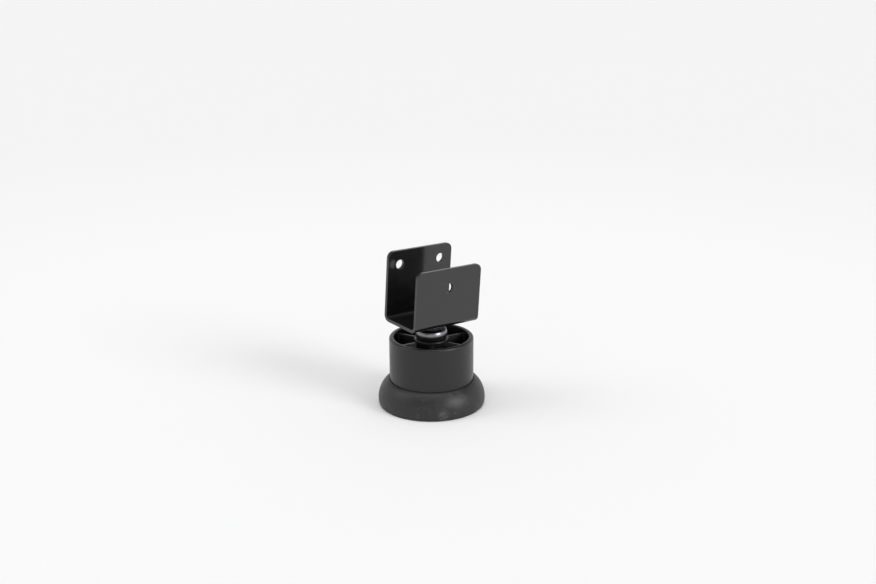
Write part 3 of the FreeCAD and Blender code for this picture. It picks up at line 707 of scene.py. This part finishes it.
class LEG_OT_spindle(Operator):
    """Threaded spindle with a bulging collar, a neck and a riveted head"""
    bl_idname = "leg.spindle"
    bl_label = "Spindle"

    def execute(self, context):
        spindle = context.scene.leg.spindle
        pitch, radius = spindle.thread_pitch, spindle.thread_radius
        root = radius - spindle.thread_depth
        tip, chamfer = SPINDLE_LOW.z, spindle.tip_chamfer
        collar_low = INSERT_HIGH.z + spindle.collar_gap
        collar_high = collar_low + spindle.collar_height
        shoulder = collar_high + spindle.neck_height
        dome_top = SPINDLE_HIGH.z
        head_low = dome_top - spindle.head_dome - spindle.head_rim

        # The thread's profile, in radius and shares of the pitch, is wound up the shank. It starts a
        # turn too low and ends a turn too high, and is then cut level at both ends.
        mesh = bmesh.new()
        thread_low, thread_high = tip + spindle.thread_start, collar_low - spindle.relief
        turns = math.ceil((thread_high - thread_low) / pitch) + 2
        start = thread_low - pitch
        profile = [(root, 0.0), (root, 0.16), (radius, 0.5), (radius, 0.62), (root, 1.0)]
        verts = [mesh.verts.new((across, 0, start + share * pitch)) for across, share in profile]
        edges = [mesh.edges.new(pair) for pair in zip(verts, verts[1:])]
        bmesh.ops.spin(mesh, geom=verts + edges, cent=(0, 0, 0), axis=(0, 0, 1),
                       dvec=(0, 0, pitch / TURNED_STEPS), angle=math.tau * turns,
                       steps=TURNED_STEPS * turns, use_merge=False, use_duplicate=False)
        bmesh.ops.remove_doubles(mesh, verts=mesh.verts, dist=TOUCHING)
        for height, side in ((thread_low, 1), (thread_high, -1)):
            bmesh.ops.bisect_plane(mesh, geom=mesh.verts[:] + mesh.edges[:] + mesh.faces[:],
                                   plane_co=(0, 0, height), plane_no=(0, 0, -side), clear_outer=True)
        ends = {side: [edge for edge in mesh.edges if edge.is_boundary
                       and all(abs(vert.co.z - height) < TOUCHING for vert in edge.verts)]
                for side, height in (("low", thread_low), ("high", thread_high))}

        # The tip's chamfer below, and the relief, collar, neck and rivet above
        flat_tip = follow(mesh, ends["low"], [(root, tip + chamfer), (root - chamfer, tip)])
        bmesh.ops.contextual_create(mesh, geom=flat_tip)
        half = spindle.collar_height / 2
        bulge_turn = math.asin(half / spindle.collar_bulge)
        bulge = arc((spindle.collar_radius - spindle.collar_bulge, collar_low + half),
                    spindle.collar_bulge, -bulge_turn, bulge_turn, 8)
        lower = rounded([(root, collar_low, 0), (*bulge[0], spindle.collar_edge), (*bulge[2], 0)], 5)
        upper = rounded([(*bulge[-3], 0), (*bulge[-1], spindle.collar_edge),
                         (spindle.neck_radius, collar_high, 0)], 5)
        # Each outline's first and last corners only lead into its roundings
        neck = rounded([(spindle.neck_radius + 1 * MM, collar_high, 0),
                        (spindle.neck_radius, collar_high, spindle.neck_fillet),
                        (spindle.neck_radius, shoulder, spindle.neck_edge),
                        (spindle.rivet_radius, shoulder, 0), (spindle.rivet_radius, head_low, 0),
                        (spindle.head_radius, head_low, spindle.head_edge),
                        (spindle.head_radius, head_low + spindle.head_rim, 0)], 3)[1:-1]
        dome_radius = (spindle.head_radius ** 2 + spindle.head_dome ** 2) / (2 * spindle.head_dome)
        dome_turn = math.asin(spindle.head_radius / dome_radius)
        dome = arc((0, dome_top - dome_radius), dome_radius, math.pi / 2 - dome_turn,
                   math.pi / 2 - dome_turn / 9, 8)
        outline = [(root, thread_high + spindle.thread_runout), (root, collar_low)]
        outline += lower[1:-1] + bulge[2:-2] + upper[1:-1] + neck + dome
        crown = follow(mesh, ends["high"], outline)
        bmesh.ops.contextual_create(mesh, geom=crown)
        bmesh.ops.recalc_face_normals(mesh, faces=mesh.faces)
        check_closed(mesh, "spindle")
        finish_piece(mesh, "turned_spindle", blackened_steel(context.scene.leg.finish), "spindle",
                     "spindle")
        return {"FINISHED"}


class LEG_OT_bracket(Operator):
    """Folded bracket with a tall and a short flange"""
    bl_idname = "leg.bracket"
    bl_label = "Bracket"

    def execute(self, context):
        bracket, spindle = context.scene.leg.bracket, context.scene.leg.spindle
        inside = bracket.rail_gap / 2
        sheet = bracket.sheet_thickness
        outside, outer_bend = inside + sheet, bracket.bend_radius + sheet
        section = rounded([
            (outside, bracket.tall_height, 0), (outside, 0, outer_bend), (-outside, 0, outer_bend),
            (-outside, bracket.short_height, 0), (-inside, bracket.short_height, 0),
            (-inside, sheet, bracket.bend_radius), (inside, sheet, bracket.bend_radius),
            (inside, bracket.tall_height, 0)], 8)
        mesh = bmesh.new()
        end = bracket.bracket_length / 2
        first = mesh.faces.new([mesh.verts.new((-end, across, up)) for across, up in section])
        made = bmesh.ops.extrude_face_region(mesh, geom=[first])
        bmesh.ops.translate(mesh, verts=ring_verts(made), vec=(2 * end, 0, 0))
        bmesh.ops.recalc_face_normals(mesh, faces=mesh.faces)
        # The corners of both flanges are the edges across the sheet at their tops
        corners = [edge for edge in mesh.edges
                   if (edge.verts[0].co - edge.verts[1].co).xz.length < TOUCHING
                   and edge.verts[0].co.z > bracket.short_height - TOUCHING]
        bmesh.ops.bevel(mesh, geom=corners, offset=bracket.corner_radius, segments=10, profile=0.5,
                        affect="EDGES", clamp_overlap=True, material=-1)
        check_closed(mesh, "bracket")
        piece = finish_piece(mesh, "folded_bracket", gloss_black_coat(context.scene.leg.finish),
                             "bracket", "bracket")

        # Three holes for screws and one for the rivet, each drilled from the middle of the sheet
        screw, rivet = bracket.hole_radius, spindle.rivet_radius + bracket.rivet_clearance
        aside, middle = bracket.tall_spacing / 2, inside + sheet / 2
        tall_hole = bracket.tall_height - bracket.tall_drop
        short_hole = bracket.short_height - bracket.short_drop
        cutters = bmesh.new()
        for place, axis, radius in (((-aside, middle, tall_hole), (0, 1, 0), screw),
                                    ((aside, middle, tall_hole), (0, 1, 0), screw),
                                    ((0, -middle, short_hole), (0, 1, 0), screw),
                                    ((0, 0, sheet / 2), (0, 0, 1), rivet)):
            drill(cutters, place, axis, radius, 2 * sheet)
        cut_away(piece, cutters)

        # The upright bracket is leaned as the record's mounts say
        up = Vector(MOUNTS["rail_seat"]["axis"]).normalized()
        out = Vector(MOUNTS["tall_flange_screws"]["axis"]).normalized()
        foot_of_web = Vector(MOUNTS["rail_seat"]["pos_m"]) - up * sheet
        turn = Matrix((out.cross(up), out, up)).transposed().to_4x4()
        piece.data.transform(Matrix.Translation(foot_of_web) @ turn)
        piece.data.shade_smooth()
        # The sheet's edges are rounded, and the small steps of its bends are left
        edge = piece.modifiers.new("rounded_edges", "BEVEL")
        edge.width = bracket.edge_radius
        edge.segments = 3
        edge.limit_method = "ANGLE"
        edge.angle_limit = math.radians(35)
        edge.miter_outer = "MITER_ARC"
        piece.modifiers.new("flat_faces", "WEIGHTED_NORMAL").keep_sharp = True
        return {"FINISHED"}


class LEG_OT_stage(Operator):
    """Pale floor, soft studio light and the camera"""
    bl_idname = "leg.stage"
    bl_label = "Stage"

    def execute(self, context):
        stage = context.scene.leg.stage
        scene = context.scene
        mesh = bmesh.new()
        bmesh.ops.create_grid(mesh, x_segments=1, y_segments=1, size=stage.floor_size / 2)
        data = bpy.data.meshes.new("studio_floor")
        mesh.to_mesh(data)
        mesh.free()
        data.materials.append(pale_floor(stage))
        floor = bpy.data.objects.new("studio_floor", data)
        scene.collection.objects.link(floor)

        camera = bpy.data.objects.new("camera", bpy.data.cameras.new("camera"))
        camera.data.lens = stage.focal_length
        camera.data.sensor_width = 36
        camera.data.clip_start = 0.01
        camera.matrix_world = (
            Matrix.Translation(Vector(stage.camera_place))
            @ Matrix.Rotation(-stage.camera_heading, 4, "Z")
            @ Matrix.Rotation(math.pi / 2 - stage.camera_pitch, 4, "X")
            @ Matrix.Rotation(stage.camera_roll, 4, "Z"))
        scene.collection.objects.link(camera)
        scene.camera = camera

        # Far softboxes: name, then bearing from +X, height above the floor and width across, all three
        # in degrees, and the light that each puts on the floor
        for name, bearing, rise, width, level in (
                ("key_softbox", -72, 27, 26, stage.key_level),
                ("side_softbox", 146, 44, 30, stage.side_level),
                ("top_softbox", -120, 84, 50, stage.top_level)):
            bearing, rise = math.radians(bearing), math.radians(rise)
            lamp = bpy.data.objects.new(name, bpy.data.lights.new(name, "SUN"))
            lamp.data.angle = math.radians(width)
            lamp.data.energy = math.pi * level / math.sin(rise)
            towards = Vector((math.cos(bearing) * math.cos(rise), math.sin(bearing) * math.cos(rise),
                              math.sin(rise)))
            lamp.matrix_world = (Matrix.Translation(towards)
                                 @ towards.to_track_quat("Z", "Y").to_matrix().to_4x4())
            scene.collection.objects.link(lamp)

        # The studio is pale up to 17 degrees above the horizon and dim from 41 degrees up. The height
        # of a direction is the sine of such an angle.
        world = bpy.data.worlds.new("studio")
        world.use_nodes = True
        scene.world = world
        tree = world.node_tree
        direction = add_node(tree, "TexCoord", {}, "Generated")
        height = add_node(tree, "SeparateXYZ", {"Vector": direction}, "Z")
        overhead = add_node(tree, "MapRange", {"Value": height, "From Min": 0.3, "From Max": 0.65},
                            interpolation_type="SMOOTHSTEP")
        level = add_node(tree, "Mix", {FACTOR: overhead, COLOUR_A: linear(stage.far_shade_and_horizon_colour),
                                       COLOUR_B: [stage.world_level] * 3 + [1]},
                         MIXED, data_type="RGBA")
        tree.links.new(level, tree.nodes["Background"].inputs["Color"])
        scene.view_settings.view_transform = "Standard"
        return {"FINISHED"}


PIECES = (LEG_OT_rubber_shoe, LEG_OT_foot, LEG_OT_insert, LEG_OT_spindle, LEG_OT_bracket, LEG_OT_stage)


class LEG_PT_panel(Panel):
    """Lists the leg's pieces and their sizes"""
    bl_idname = "LEG_PT_panel"
    bl_label = "Furniture leg"
    bl_space_type = "VIEW_3D"
    bl_region_type = "UI"
    bl_category = "Furniture leg"

    def draw(self, context):
        leg = context.scene.leg
        for piece in PIECES:
            self.layout.operator(piece.bl_idname)
        for group in (leg.shoe, leg.foot, leg.insert, leg.spindle, leg.bracket, leg.stage, leg.finish):
            box = self.layout.box()
            for name in group.__annotations__:
                box.prop(group, name)


CLASSES = (ShoeSettings, FootSettings, InsertSettings, SpindleSettings, BracketSettings, StageSettings,
           FinishSettings, LegSettings, *PIECES, LEG_PT_panel)


def register():
    for item in CLASSES:
        bpy.utils.register_class(item)
    bpy.types.Scene.leg = PointerProperty(type=LegSettings)


def unregister():
    del bpy.types.Scene.leg
    for item in reversed(CLASSES):
        bpy.utils.unregister_class(item)


def main():
    register()
    for piece in PIECES:
        group, name = piece.bl_idname.split(".")
        getattr(getattr(bpy.ops, group), name)()


if __name__ == "__main__":
    main()
